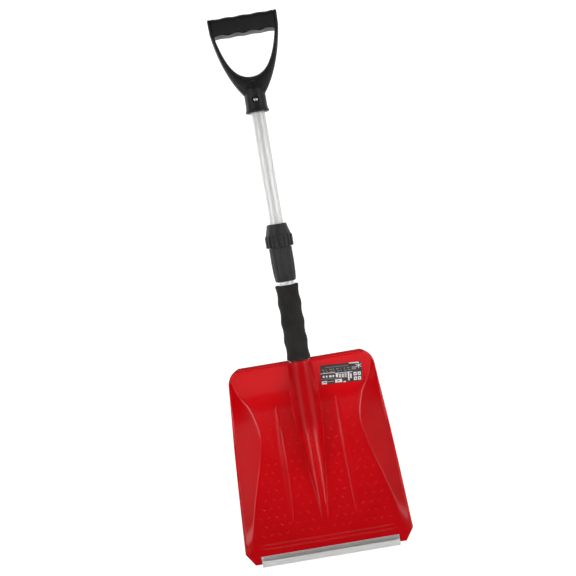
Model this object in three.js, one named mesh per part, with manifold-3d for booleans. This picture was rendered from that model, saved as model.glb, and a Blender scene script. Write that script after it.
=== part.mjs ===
// Telescopic snow and avalanche shovel: a moulded scoop on a two-piece aluminium shaft, with a
// twist-lock collar, a foam hand grip and a D-handle. Millimetres, +Z up along the shaft.
// The origin is the middle of the cutting edge's bottom face, and -Y is the front, the scoop's side.
import * as THREE from "three";
import { mergeVertices } from "three/addons/utils/BufferGeometryUtils.js";
import Module from "manifold-3d";

const wasm = await Module();
wasm.setup();

// ---------------------------------------------------------------- driving dimensions

const GAP = 0.3; // clearance that parts which touch or slide keep
const ROUND = 32; // sides of a turned part

const UPPER_TUBE = { outer: 11, wall: 1.2, bottom: 404, top: 736 };
const LOWER_TUBE = { outer: 12.5, wall: 1.2, bottom: 212, top: 496 };
const SOCKET = { outer: 15.8, bottom: 203, floor: 209 };
const BLADE = { top: 317, bottom: 5.3, edge: 8, wall: 2.6, corner: 26, cutTop: 26.5, cutHalf: 119.6 };
const EDGE_HALF_TOP = 112.7; // half width of the scoop at its top
const EDGE_FLARE = 0.0692; // how much the half width grows for each mm down
const EDGE_BOW = 0.4; // how far the side edges bulge at mid height
const RIDGE = { half: 17, front: -17, straightTo: 202, tip: 57, tipHalf: 4.7, wall: 3 };
const RIB = { x: 48.7, half: 9.5, height: 4.5, low: 62, high: 246 };
const STRIP = { half: 109.2, height: 18, nose: 10.5, thick: 5.8, flat: 1.6 };
const FOAM = { inner: 12.8, mean: 17.3, wave: 0.75, bottom: 318, top: 433.5, waves: 4 };
const COLLAR = { outer: 17.5, spigot: 15.2, bottom: 439, shoulder: 491, top: 508 };
const NUT = { bottom: 491.8, bandTop: 511, top: 527, root: 19.4, tip: 21.3, mouth: 14.6, ribs: 20 };
const NECK = { outer: 15.9, flange: 17.7, bottom: 696, top: 747, screwZ: 714 };
const GRIP = { half: 47, bottom: 812.2, top: 838, depth: 12.5, core: 7.5, z: 825 };
const YOKE = { half: 52, top: 840, depth: 11.5 };

// ---------------------------------------------------------------- materials

const finish = (color, roughness, metalness) =>
  new THREE.MeshStandardMaterial({ color, roughness, metalness });
const RED_PLASTIC = finish(0xc0101c, 0.3, 0);
const BLACK_PLASTIC = finish(0x1f1f1f, 0.5, 0);
const GREY_PLASTIC = finish(0x383837, 0.6, 0);
const SOFT_GRIP = finish(0x232322, 0.75, 0);
const FOAM_BLACK = finish(0x2a2927, 0.95, 0);
const ALUMINIUM = finish(0xdcdedb, 0.3, 1);
const STEEL = finish(0xc9c9c6, 0.25, 1);
const LABEL_FILM = finish(0x6a6666, 0.4, 0);

// ---------------------------------------------------------------- shape helpers

function solidOf(geometry) {
  const bare = geometry.clone();
  for (const name of Object.keys(bare.attributes)) {
    if (name !== "position") bare.deleteAttribute(name);
  }
  const merged = mergeVertices(bare, 1e-4);
  return new wasm.Manifold(
    new wasm.Mesh({
      numProp: 3,
      vertProperties: merged.attributes.position.array,
      triVerts: new Uint32Array(merged.index.array),
    }),
  );
}

function geometryOf(solid) {
  const { vertProperties, triVerts } = solid.getMesh();
  const geometry = new THREE.BufferGeometry();
  geometry.setAttribute("position", new THREE.BufferAttribute(vertProperties, 3));
  geometry.setIndex(new THREE.BufferAttribute(triVerts, 1));
  geometry.computeVertexNormals();
  return geometry;
}

/** A body of revolution about +Z from [radius, z] points that run up the outside and down the bore. */
function turned(profile, sides = ROUND) {
  const points = profile.map(([radius, z]) => new THREE.Vector2(radius, z));
  return solidOf(new THREE.LatheGeometry(points, sides).rotateX(Math.PI / 2));
}

/** A plain ring or tube: turned(), with its profile closed on itself. */
function ring(outer, inner, bottom, top, sides = ROUND) {
  return turned([[inner, bottom], [outer, bottom], [outer, top], [inner, top], [inner, bottom]], sides);
}

function rod(radius, bottom, top, sides = ROUND) {
  return turned([[0, bottom], [radius, bottom], [radius, top], [0, top]], sides);
}

/** Turns a solid made along +Z to lie along +Y, then moves it. */
function alongY(solid, x, y, z) {
  return solid.rotate([-90, 0, 0]).translate([x, y, z]);
}

function box(x0, x1, y0, y1, z0, z1) {
  const geometry = new THREE.BoxGeometry(x1 - x0, y1 - y0, z1 - z0);
  return solidOf(geometry.translate((x0 + x1) / 2, (y0 + y1) / 2, (z0 + z1) / 2));
}

/** An outline in X and Z, thick along Y and centred on Y = 0. */
function plate(outline, thickness, bevel = 0) {
  const options = {
    depth: thickness - 2 * bevel,
    bevelEnabled: bevel > 0,
    bevelThickness: bevel,
    bevelSize: bevel,
    bevelOffset: -bevel,
    bevelSegments: 1,
    curveSegments: 9,
  };
  const geometry = new THREE.ExtrudeGeometry(outline, options);
  return solidOf(geometry.translate(0, 0, bevel - thickness / 2).rotateX(Math.PI / 2));
}

/** An outline in Y and Z, run along X for the given length and centred on X = 0. */
function bar(outline, length) {
  const geometry = new THREE.ExtrudeGeometry(outline, {
    depth: length,
    bevelEnabled: false,
    curveSegments: 4,
  });
  const turn = new THREE.Matrix4().set(0, 0, 1, -length / 2, 1, 0, 0, 0, 0, 1, 0, 0, 0, 0, 0, 1);
  return solidOf(geometry.applyMatrix4(turn));
}

function outlineOf(points) {
  return new THREE.Shape(points.map(([a, b]) => new THREE.Vector2(a, b)));
}

/** A closed sheet: front(row, column) gives [x, y, z], and the back lies the given depth behind it. */
function sheet(rows, columns, front, depth) {
  const positions = [];
  const index = [];
  const at = (side, r, c) => (side * rows + r) * columns + c;
  for (const side of [0, 1]) {
    for (let r = 0; r < rows; r++) {
      for (let c = 0; c < columns; c++) {
        const [x, y, z] = front(r, c);
        positions.push(x, y + side * depth, z);
      }
    }
  }
  const quad = (a, b, c, d) => index.push(a, b, c, a, c, d);
  for (let r = 0; r < rows - 1; r++) {
    for (let c = 0; c < columns - 1; c++) {
      quad(at(0, r, c), at(0, r, c + 1), at(0, r + 1, c + 1), at(0, r + 1, c));
      quad(at(1, r, c), at(1, r + 1, c), at(1, r + 1, c + 1), at(1, r, c + 1));
    }
    const last = columns - 1;
    quad(at(0, r, 0), at(0, r + 1, 0), at(1, r + 1, 0), at(1, r, 0));
    quad(at(0, r, last), at(1, r, last), at(1, r + 1, last), at(0, r + 1, last));
  }
  for (let c = 0; c < columns - 1; c++) {
    const last = rows - 1;
    quad(at(0, 0, c), at(1, 0, c), at(1, 0, c + 1), at(0, 0, c + 1));
    quad(at(0, last, c), at(0, last, c + 1), at(1, last, c + 1), at(1, last, c));
  }
  const geometry = new THREE.BufferGeometry();
  geometry.setAttribute("position", new THREE.Float32BufferAttribute(positions, 3));
  geometry.setIndex(index);
  return solidOf(geometry);
}

const smoothstep = THREE.MathUtils.smoothstep;
const clamp = THREE.MathUtils.clamp;
const lerp = THREE.MathUtils.lerp;

// ---------------------------------------------------------------- the scoop's form

const FLOOR_FRONT = -1.3; // front of the floor at the cutting edge
const FLOOR_LIFT_FROM = 20; // the floor is upright below this height, and leans back above it
const BACK_FOOT = 254; // where the back wall rises from the floor
const FLOOR_DEPTH = 27.3; // how far back the floor lies at the foot of the back wall
const LIP_FROM = 309; // the back wall turns upright into a lip here
const LIP_WIDTH = 2.5; // the same lip down the sides
const CHEEK = { at: 200, widest: 42.3, top: 285, topWidth: 19.5, bottom: 24, bottomWidth: 15 };
const TOP_RIM_Y = 0; // the top rim, and the side rims' upper ends, lie in this plane

const [BOW_LOW, BOW_HIGH] = [BLADE.cutTop, BLADE.top - BLADE.corner];
const bowX = (z) => EDGE_BOW * Math.sin(Math.PI * clamp((z - BOW_LOW) / (BOW_HIGH - BOW_LOW), 0, 1));
const edgeX = (z) => EDGE_HALF_TOP + EDGE_FLARE * (BLADE.top - z) + bowX(z);
const floorY = (z) =>
  FLOOR_FRONT + (FLOOR_DEPTH * Math.max(0, z - FLOOR_LIFT_FROM)) / (BACK_FOOT - FLOOR_LIFT_FROM);

/** Width of the side wall as seen from the front. */
function cheekWidth(z) {
  const { at, widest } = CHEEK;
  const [end, width] = z > at ? [CHEEK.top, CHEEK.topWidth] : [CHEEK.bottom, CHEEK.bottomWidth];
  return lerp(widest, width, smoothstep(Math.abs(z - at), 0, Math.abs(end - at)));
}

const footX = (z) => edgeX(z) - cheekWidth(z);
const sideRimY = (z) => -4 - 9 * smoothstep(z, 0, 140) + (13 + TOP_RIM_Y) * smoothstep(z, 190, 275);
const wallCurve = (t) => (t <= 0 ? 0 : Math.min(1, t) * (0.75 + 0.25 * Math.min(1, t)));

/** Half width of the flanking rib at a height: it comes to a point at both ends. */
function ribHalf(z) {
  const along = clamp((z - RIB.low) / (RIB.high - RIB.low), 0, 1);
  return RIB.half * Math.sqrt(Math.sin(Math.PI * along));
}

/** The scoop's front surface, without the middle ridge. */
function scoopY(x, z) {
  const across = Math.abs(x);
  const floor = floorY(z);
  const lip = LIP_WIDTH;
  const side = wallCurve((across - footX(z)) / (cheekWidth(z) - lip)) * (floor - sideRimY(z));
  const back = wallCurve((z - BACK_FOOT) / (LIP_FROM - BACK_FOOT)) * (floor - TOP_RIM_Y);
  const half = ribHalf(z);
  const rib = half > 0 ? RIB.height * (half / RIB.half) * Math.max(0, 1 - Math.abs(across - RIB.x) / half) : 0;
  return floor - Math.max(side, back, rib);
}

// Columns follow the creases: the ridge's side, the rib's three lines, the foot of the side wall and its lip.
function columnX(z) {
  const foot = footX(z);
  const lip = edgeX(z) - LIP_WIDTH;
  const half = Math.max(ribHalf(z), 0.5);
  return [
    0, 19, RIB.x - half, RIB.x, RIB.x + half, lerp(RIB.x + half, foot, 0.6),
    foot, lerp(foot, lip, 0.33), lerp(foot, lip, 0.67), lip, edgeX(z),
  ];
}

const ROW_Z = [
  4, 20, 41, 62, 68, 80, 96, 112, 130, 148, 164, 178, 190, 202, 214, 226, 236, 242, 246, 254, 264, 275, 287,
  298, 309, 317.5,
];

function scoopSheet() {
  const half = columnX(0).length - 1;
  return sheet(
    ROW_Z.length,
    2 * half + 1,
    (r, c) => {
      const z = ROW_Z[r];
      const x = Math.sign(c - half) * columnX(z)[Math.abs(c - half)];
      return [x, scoopY(x, z), z];
    },
    BLADE.wall,
  );
}

/** The scoop's outline: round top corners, cut bottom corners, and a tongue between them for the strip. */
function scoopOutline() {
  const { top, bottom, edge, corner, cutHalf } = BLADE;
  const shape = new THREE.Shape();
  const side = edgeX(BOW_HIGH);
  const middle = [edgeX((BOW_LOW + BOW_HIGH) / 2) + EDGE_BOW, (BOW_LOW + BOW_HIGH) / 2];
  const tongue = STRIP.half + GAP;
  shape.moveTo(-tongue, edge);
  shape.lineTo(tongue, edge);
  shape.lineTo(tongue, bottom);
  shape.lineTo(cutHalf, bottom);
  shape.lineTo(edgeX(BOW_LOW), BOW_LOW);
  shape.quadraticCurveTo(middle[0], middle[1], side, BOW_HIGH);
  shape.quadraticCurveTo(edgeX(top), top, side - corner, top);
  shape.lineTo(corner - side, top);
  shape.quadraticCurveTo(-edgeX(top), top, -side, BOW_HIGH);
  shape.quadraticCurveTo(-middle[0], middle[1], -edgeX(BOW_LOW), BOW_LOW);
  shape.lineTo(-cutHalf, bottom);
  shape.lineTo(-tongue, bottom);
  shape.closePath();
  return shape;
}

/** The middle ridge: upright over the socket, then a tail that dies out on the floor. Inset gives its hollow. */
function ridge(inset, rear) {
  const stations = [
    [BLADE.top + inset, RIDGE.half, RIDGE.front],
    [RIDGE.straightTo, RIDGE.half, RIDGE.front],
    [RIDGE.tip, RIDGE.tipHalf, floorY(RIDGE.tip) - 1.5],
  ];
  const sides = 12;
  const section = ([z, half, front]) => {
    const reach = half - inset;
    const nose = front + inset;
    const points = [[reach, rear, z]];
    for (let i = 0; i <= sides; i++) {
      const angle = (Math.PI * i) / sides;
      const shoulder = Math.min(0.999 * rear, front + half);
      points.push([reach * Math.cos(angle), lerp(shoulder, nose, Math.sin(angle)), z]);
    }
    points.push([-reach, rear, z]);
    return points;
  };
  const rows = stations.map(section);
  const count = rows[0].length;
  const positions = rows.flat(2);
  const index = [];
  for (let r = 0; r < rows.length - 1; r++) {
    for (let c = 0; c < count; c++) {
      const next = (c + 1) % count;
      const [a, b, d, e] = [r * count + c, r * count + next, (r + 1) * count + next, (r + 1) * count + c];
      index.push(a, b, d, a, d, e);
    }
  }
  const last = (rows.length - 1) * count;
  for (let c = 1; c < count - 1; c++) {
    index.push(0, c + 1, c);
    index.push(last, last + c, last + c + 1);
  }
  const geometry = new THREE.BufferGeometry();
  geometry.setAttribute("position", new THREE.Float32BufferAttribute(positions, 3));
  geometry.setIndex(index);
  return solidOf(geometry);
}

// ---------------------------------------------------------------- parts of the scoop

const SCREW_Z = [220, 232]; // the two blade screws, in the solid end of the tube plug
const SCREW = { head: 3.4, headHeight: 2.2, shank: 1.7 };

function blade() {
  const outline = plate(scoopOutline(), 120);
  const shell = ridge(0, 40).intersect(inFrontOfBack()).subtract(ridge(RIDGE.wall, 60));
  let part = scoopSheet().subtract(ridge(RIDGE.wall, 60)).intersect(outline).add(shell);
  part = part.add(rod(SOCKET.outer, SOCKET.bottom, BLADE.top));
  part = part.subtract(rod(LOWER_TUBE.outer + GAP, SOCKET.floor, BLADE.top + 10));
  for (const z of SCREW_Z) {
    part = part.subtract(alongY(rod(SCREW.shank + GAP, 0, 30, 16), 0, 8, z));
  }
  return part;
}

/** Everything in front of a surface just inside the scoop's back, which trims the ridge to the sheet. */
function inFrontOfBack() {
  const rows = ROW_Z.filter((z) => z >= 41);
  const columns = 13;
  const x = (c) => (c - (columns - 1) / 2) * 5;
  const back = (r) => scoopY(0, rows[r]) + BLADE.wall - 0.5;
  const near = sheet(rows.length, columns, (r, c) => [x(c), back(r) - 60, rows[r]], 60);
  const far = sheet(rows.length, columns, (r, c) => [x(c), -60, rows[r]], 59);
  return near.add(far);
}

/** Extruded edging: a channel over the scoop's tongue, and a nose that tapers to the cutting edge. */
function wearStrip() {
  const { half, height, nose, thick, flat } = STRIP;
  const slot = BLADE.wall / 2 + GAP;
  const outline = outlineOf([
    [-flat / 2, 0],
    [flat / 2, 0],
    [thick / 2, nose],
    [thick / 2, height],
    [slot, height],
    [slot, BLADE.edge - GAP],
    [-slot, BLADE.edge - GAP],
    [-slot, height],
    [-thick / 2, height],
    [-thick / 2, nose],
    [-thick / 2 + 0.4, nose - 4.5],
  ]);
  return bar(outline, 2 * half);
}

/** A thin film stuck on the back wall, turned a few degrees as it was applied. */
function label() {
  const [width, height, tilt] = [65, 33, -0.07];
  const [middleX, middleZ] = [61.5, 281.5];
  const film = 0.35;
  return sheet(
    5,
    8,
    (r, c) => {
      const a = (c / 7 - 0.5) * width;
      const b = (r / 4 - 0.5) * height;
      const x = middleX + a * Math.cos(tilt) - b * Math.sin(tilt);
      const z = middleZ + a * Math.sin(tilt) + b * Math.cos(tilt);
      return [x, scoopY(x, z) - 2 * GAP - film, z];
    },
    film,
  );
}

/** A pan-head screw along +Z with its head's top at the given height and a cross recess. */
function panScrew(headTop, tip) {
  const { head, headHeight, shank } = SCREW;
  const seat = headTop - headHeight;
  const body = turned(
    [[0, tip], [shank, tip], [shank, seat], [head, seat], [head, headTop - 1], [head * 0.55, headTop], [0, headTop]],
    16,
  );
  const slot = box(-2, 2, -0.5, 0.5, headTop - 1.3, headTop + 1);
  return body.subtract(slot).subtract(slot.rotate([0, 0, 90]));
}

const bladeScrew = (z) => alongY(panScrew(SOCKET.outer + GAP + SCREW.headHeight, 8.5), 0, 0, z);

// ---------------------------------------------------------------- the lower shaft

function lowerTube() {
  const { outer, wall, bottom, top } = LOWER_TUBE;
  let tube = ring(outer, outer - wall, bottom, top);
  for (const z of SCREW_Z) {
    tube = tube.subtract(alongY(rod(SCREW.shank + GAP, 0, 30, 16), 0, 6, z));
  }
  return tube;
}

/** Plastic plug that closes the tube's foot and takes the blade screws. */
function lowerTubePlug() {
  const bore = LOWER_TUBE.outer - LOWER_TUBE.wall - GAP;
  const flange = LOWER_TUBE.outer - 0.2;
  const foot = LOWER_TUBE.bottom - GAP;
  let plug = turned([
    [0, foot - 2], [flange, foot - 2], [flange, foot], [bore, foot], [bore, 240], [bore - 1.5, 241.5], [0, 241.5],
  ]);
  for (const z of SCREW_Z) {
    plug = plug.subtract(alongY(rod(SCREW.shank + GAP, 0, 30, 16), 0, 7.5, z));
  }
  return plug;
}

function foamRadius(z) {
  const along = (z - FOAM.bottom) / (FOAM.top - FOAM.bottom);
  return FOAM.mean + FOAM.wave * Math.cos(2 * Math.PI * FOAM.waves * along);
}

function foamGrip() {
  const steps = 4 * FOAM.waves;
  const profile = [[FOAM.inner, FOAM.bottom]];
  for (let i = 0; i <= steps; i++) {
    const z = lerp(FOAM.bottom, FOAM.top, i / steps);
    profile.push([foamRadius(z), z]);
  }
  profile.push([FOAM.inner, FOAM.top], [FOAM.inner, FOAM.bottom]);
  return turned(profile, 24);
}

// ---------------------------------------------------------------- the twist lock

const BUSH_SEAT = 497; // the collet's flange rests here, just above the tube's end
const SET_SCREW = { z: 457, radius: 2, hole: 2.3 };

function collarBody() {
  const { outer, spigot, bottom, shoulder, top } = COLLAR;
  const bore = LOWER_TUBE.outer + GAP;
  const body = turned([
    [bore, bottom],
    [15.6, bottom],
    [16.8, bottom + 3],
    [outer, bottom + 12],
    [outer + 0.1, shoulder],
    [spigot, shoulder],
    [spigot, top],
    [14.1, top],
    [14.1, BUSH_SEAT],
    [bore, BUSH_SEAT],
    [bore, bottom],
  ]);
  return body.subtract(alongY(rod(SET_SCREW.hole, 0, 12, 16), 0, bore - 2, SET_SCREW.z));
}

/** Grub screw in the back of the collar that bears on the tube. */
function collarSetScrew() {
  const socket = rod(1.1, 16.2, 18, 6);
  const screw = rod(SET_SCREW.radius, LOWER_TUBE.outer + 0.15, COLLAR.outer - 0.3, 16).subtract(socket);
  return alongY(screw, 0, 0, SET_SCREW.z);
}

/** Split plastic collet: six fingers with an outer cone that the ring squeezes on to the upper tube. */
function collet() {
  const bore = UPPER_TUBE.outer + GAP;
  const foot = BUSH_SEAT + GAP;
  let part = turned([
    [bore, foot], [13.8, foot], [13.8, 508.5], [14.6, 509], [14.6, 510.5], [12.3, 519.5], [bore, 519.5], [bore, foot],
  ]);
  for (let i = 0; i < 3; i++) {
    part = part.subtract(box(-20, 20, -0.6, 0.6, 503, 530).rotate([0, 0, 60 * i]));
  }
  return part;
}

/** Thrust ring: its bore is the cone that closes the collet, and the nut pushes on its top. */
function clampRing() {
  return turned([
    [14.9, 510.9], [15.6, 510.9], [15.6, 520.4], [12.6, 520.4], [12.6, 519.9], [14.9, 510.9],
  ]);
}

/** Twist-lock nut: a cone that flares into a ribbed band. */
function clampNut() {
  const { bottom, bandTop, top, root, tip, mouth, ribs } = NUT;
  const outline = new THREE.Shape();
  const step = (2 * Math.PI) / ribs;
  for (let i = 0; i < ribs; i++) {
    [[root, -0.3], [tip, -0.16], [tip, 0.16], [root, 0.3]].forEach(([radius, share], k) => {
      const angle = (i + share) * step;
      const [x, y] = [radius * Math.cos(angle), radius * Math.sin(angle)];
      if (i === 0 && k === 0) outline.moveTo(x, y);
      else outline.lineTo(x, y);
    });
  }
  outline.closePath();
  const height = bandTop - bottom;
  const band = solidOf(
    new THREE.ExtrudeGeometry(outline, { depth: height, bevelEnabled: false }).translate(0, 0, bottom),
  );
  const cone = turned([[0, bottom], [root, bottom], [root, bandTop], [mouth, top], [0, top]]);
  const cavity = turned([
    [0, bottom - 5], [15.6, bottom - 5], [15.6, 508.6], [15.9, 509], [15.9, 520.7], [UPPER_TUBE.outer + 0.6, 520.7],
    [UPPER_TUBE.outer + 0.6, top + 5], [0, top + 5],
  ]);
  return band.add(cone).subtract(cavity);
}

// ---------------------------------------------------------------- the upper shaft and the handle

function upperTube() {
  const { outer, wall, bottom, top } = UPPER_TUBE;
  const hole = alongY(rod(2.4, -30, 30, 16), 0, 0, NECK.screwZ);
  return ring(outer, outer - wall, bottom, top).subtract(hole);
}

/** Flanged plug in the upper tube's foot: it guides the tube in the lower one, and the tube turns on its stem. */
function guidePlug() {
  const stem = UPPER_TUBE.outer - UPPER_TUBE.wall - GAP;
  const flange = LOWER_TUBE.outer - LOWER_TUBE.wall - 0.15;
  const seat = UPPER_TUBE.bottom - GAP;
  return turned([
    [6, seat - 4], [flange - 0.6, seat - 4], [flange, seat - 3], [flange, seat], [stem, seat],
    [stem, seat + 16], [6, seat + 16], [6, seat - 4],
  ]);
}

const OPENING_LOW = 749.4; // lowest point of the hand opening

function yokeOutline() {
  const { half, top } = YOKE;
  const inner = GRIP.half + GAP;
  const shape = new THREE.Shape();
  shape.moveTo(-15, 716);
  shape.lineTo(15, 716);
  shape.lineTo(15.6, 724);
  shape.bezierCurveTo(34.5, 748, 46, 778, half - 1, 821);
  shape.lineTo(half, top);
  shape.lineTo(inner, top);
  shape.lineTo(inner, 812);
  shape.bezierCurveTo(41, 785, 26, OPENING_LOW, 0, OPENING_LOW);
  shape.bezierCurveTo(-26, OPENING_LOW, -41, 785, -inner, 812);
  shape.lineTo(-inner, top);
  shape.lineTo(-half, top);
  shape.lineTo(1 - half, 821);
  shape.bezierCurveTo(-46, 778, -34.5, 748, -15.6, 724);
  shape.closePath();
  return shape;
}

const NUT_POCKET = { across: 7, depth: 11.9, radius: 4.4 };

/** D-handle frame: neck, two arms, and the core bar that the soft grip is moulded over. */
function handleYoke() {
  const { outer, flange, bottom, top, screwZ } = NECK;
  const neck = turned([
    [0, bottom], [flange, bottom], [flange, bottom + 1.6], [outer + 0.2, bottom + 5], [outer, top - 4],
    [outer - 3, top], [0, top],
  ]);
  const core = rod(GRIP.core, -GRIP.half - 2, GRIP.half + 2, 20).rotate([0, 90, 0]).translate([0, 0, GRIP.z]);
  const bore = rod(UPPER_TUBE.outer + GAP, bottom - 5, UPPER_TUBE.top + GAP);
  const screwHole = alongY(rod(2.4, -30, 30, 16), 0, 0, screwZ);
  const headRecess = alongY(rod(4.6, -30, -13, 20), 0, 0, screwZ);
  const pocket = alongY(rod(NUT_POCKET.radius, NUT_POCKET.depth, 30, 6), 0, 0, screwZ);
  return plate(yokeOutline(), 2 * YOKE.depth)
    .add(neck)
    .add(core)
    .subtract(bore)
    .subtract(screwHole)
    .subtract(headRecess)
    .subtract(pocket);
}

/** Soft overmould on the core bar, with four finger hollows underneath. */
function gripSleeve() {
  const { half, bottom, top, depth, core, z } = GRIP;
  const round = 6;
  const outline = new THREE.Shape();
  outline.moveTo(round - depth, bottom);
  outline.lineTo(depth - round, bottom);
  outline.quadraticCurveTo(depth, bottom, depth, bottom + round);
  outline.lineTo(depth, top - round);
  outline.quadraticCurveTo(depth, top, depth - round, top);
  outline.lineTo(round - depth, top);
  outline.quadraticCurveTo(-depth, top, -depth, top - round);
  outline.lineTo(-depth, bottom + round);
  outline.quadraticCurveTo(-depth, bottom, round - depth, bottom);
  const channel = rod(core + GAP, -half - 5, half + 5, 20).rotate([0, 90, 0]).translate([0, 0, z]);
  let sleeve = bar(outline, 2 * half).subtract(channel);
  const pitch = 23.5;
  const [fingerRadius, fingerDepth] = [32, 2];
  for (let i = 0; i < 4; i++) {
    const finger = alongY(rod(fingerRadius, -20, 20, 48), (i - 1.5) * pitch, 0, bottom + fingerDepth - fingerRadius);
    sleeve = sleeve.subtract(finger);
  }
  return sleeve;
}

function handleScrew() {
  const screw = panScrew(15.2, -14.6);
  return screw.rotate([90, 0, 0]).translate([0, 0, NECK.screwZ]);
}

function handleNut() {
  const hex = rod(NUT_POCKET.across / Math.sqrt(3), 12.2, 14.9, 6);
  return alongY(hex.subtract(rod(SCREW.shank + GAP, 0, 30, 16)), 0, 0, NECK.screwZ);
}

// ---------------------------------------------------------------- the assembly

const shovel = new THREE.Group();
shovel.name = "shovel";

function group(name, parts) {
  const holder = new THREE.Group();
  holder.name = name;
  for (const [node, solid, material] of parts) {
    const mesh = new THREE.Mesh(geometryOf(solid), material);
    mesh.name = node;
    holder.add(mesh);
  }
  shovel.add(holder);
}

group("blade_group", [
  ["blade", blade(), RED_PLASTIC],
  ["wear_strip", wearStrip(), ALUMINIUM],
  ["label", label(), LABEL_FILM],
  ["blade_screw_lower", bladeScrew(SCREW_Z[0]), STEEL],
  ["blade_screw_upper", bladeScrew(SCREW_Z[1]), STEEL],
]);

group("lower_shaft_group", [
  ["lower_tube", lowerTube(), ALUMINIUM],
  ["lower_tube_plug", lowerTubePlug(), BLACK_PLASTIC],
  ["foam_grip", foamGrip(), FOAM_BLACK],
]);

group("twist_lock_group", [
  ["collar_body", collarBody(), GREY_PLASTIC],
  ["collar_set_screw", collarSetScrew(), STEEL],
  ["collet", collet(), BLACK_PLASTIC],
  ["clamp_ring", clampRing(), BLACK_PLASTIC],
  ["clamp_nut", clampNut(), GREY_PLASTIC],
]);

group("handle_group", [
  ["upper_tube", upperTube(), ALUMINIUM],
  ["guide_plug", guidePlug(), BLACK_PLASTIC],
  ["handle_yoke", handleYoke(), BLACK_PLASTIC],
  ["grip_sleeve", gripSleeve(), SOFT_GRIP],
  ["handle_screw", handleScrew(), STEEL],
  ["handle_nut", handleNut(), STEEL],
]);

export default shovel;
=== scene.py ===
"""Visual model of a telescopic snow shovel.

Shapes are worked out in millimetres and stored in metres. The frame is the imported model's:
+Z up along the shaft, -Y the scoop's open front, origin at the cutting edge.
"""

from math import acos, copysign, cos, hypot, pi, radians, sin, tan

import bmesh
import bpy
import numpy as np
from mathutils import Matrix, Vector


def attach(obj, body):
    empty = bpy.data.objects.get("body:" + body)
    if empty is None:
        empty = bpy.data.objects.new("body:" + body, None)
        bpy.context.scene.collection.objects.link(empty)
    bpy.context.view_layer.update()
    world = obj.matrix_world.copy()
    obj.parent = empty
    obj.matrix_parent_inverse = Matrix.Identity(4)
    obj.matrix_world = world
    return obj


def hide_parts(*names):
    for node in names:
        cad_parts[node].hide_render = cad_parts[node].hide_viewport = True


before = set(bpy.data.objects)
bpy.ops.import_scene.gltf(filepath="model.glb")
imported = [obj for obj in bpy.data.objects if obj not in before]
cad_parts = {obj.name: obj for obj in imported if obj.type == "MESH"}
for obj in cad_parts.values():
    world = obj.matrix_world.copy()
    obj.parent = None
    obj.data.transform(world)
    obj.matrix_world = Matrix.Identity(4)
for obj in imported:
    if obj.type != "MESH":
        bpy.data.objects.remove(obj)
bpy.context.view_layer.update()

MM = 0.001
TURN, QUARTER = 2 * pi, 0.5 * pi
TINY = 1e-6
SHARP = 35  # degrees between two faces, from which their edge is drawn as an edge


# ------------ mesh helpers

def new_mesh(name, verts, faces):
    """A mesh from points in millimetres, with its faces turned outwards."""
    mesh = bpy.data.meshes.new(name)
    points = (np.asarray(verts, dtype=float) * MM).tolist()
    mesh.from_pydata(points, [], [tuple(int(i) for i in face) for face in faces])
    mesh.update()
    bm = bmesh.new()
    bm.from_mesh(mesh)
    bmesh.ops.recalc_face_normals(bm, faces=bm.faces)
    bm.to_mesh(mesh)
    bm.free()
    return mesh


def linked(name, data):
    """An object in the scene, which holds a mesh, a light or a camera."""
    obj = bpy.data.objects.new(name, data)
    bpy.context.scene.collection.objects.link(obj)
    return obj


def smooth_shaded(mesh, sharp):
    mesh.polygons.foreach_set("use_smooth", [True] * len(mesh.polygons))
    mesh.set_sharp_from_angle(angle=radians(sharp))


def piece(name, verts, faces, materials, body, slot, stands_for=(), sharp=SHARP,
          face_materials=None):
    """A piece from points in millimetres, which rides on a body and may replace CAD nodes."""
    mesh = new_mesh(name, verts, faces)
    for material in materials if isinstance(materials, list) else [materials]:
        mesh.materials.append(material)
    if face_materials is not None:
        mesh.polygons.foreach_set("material_index", face_materials)
    smooth_shaded(mesh, sharp)
    obj = linked(name, mesh)
    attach(obj, body)
    if stands_for:
        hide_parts(*stands_for)
    return obj


def joined(parts):
    """Several closed bodies as one list of points and one of faces."""
    verts, faces = [], []
    for part_verts, part_faces in parts:
        start = len(verts)
        verts.extend(tuple(v) for v in part_verts)
        faces.extend(tuple(i + start for i in face) for face in part_faces)
    return verts, faces


def lathe(profile, sides=96, radius_at=None):
    """A body of revolution about +Z from (radius, z) points. Radius 0 closes an end.

    radius_at(angle, radius, z) bends a radius on its way round.
    """
    verts, rings, faces = [], [], []
    for r, z in profile:
        if r < TINY:
            rings.append([len(verts)])
            verts.append((0.0, 0.0, z))
            continue
        ring = []
        for i in range(sides):
            angle = TURN * i / sides
            reach = radius_at(angle, r, z) if radius_at else r
            ring.append(len(verts))
            verts.append((reach * cos(angle), reach * sin(angle), z))
        rings.append(ring)
    pairs = list(zip(rings, rings[1:]))
    if len(rings[0]) > 1 and len(rings[-1]) > 1:
        pairs.append((rings[-1], rings[0]))
    for low, high in pairs:
        if len(low) == 1 and len(high) == 1:
            continue
        for i in range(sides):
            j = (i + 1) % sides
            if len(low) == 1:
                faces.append((low[0], high[j], high[i]))
            elif len(high) == 1:
                faces.append((low[i], low[j], high[0]))
            else:
                faces.append((low[i], low[j], high[j], high[i]))
    return verts, faces


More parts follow.
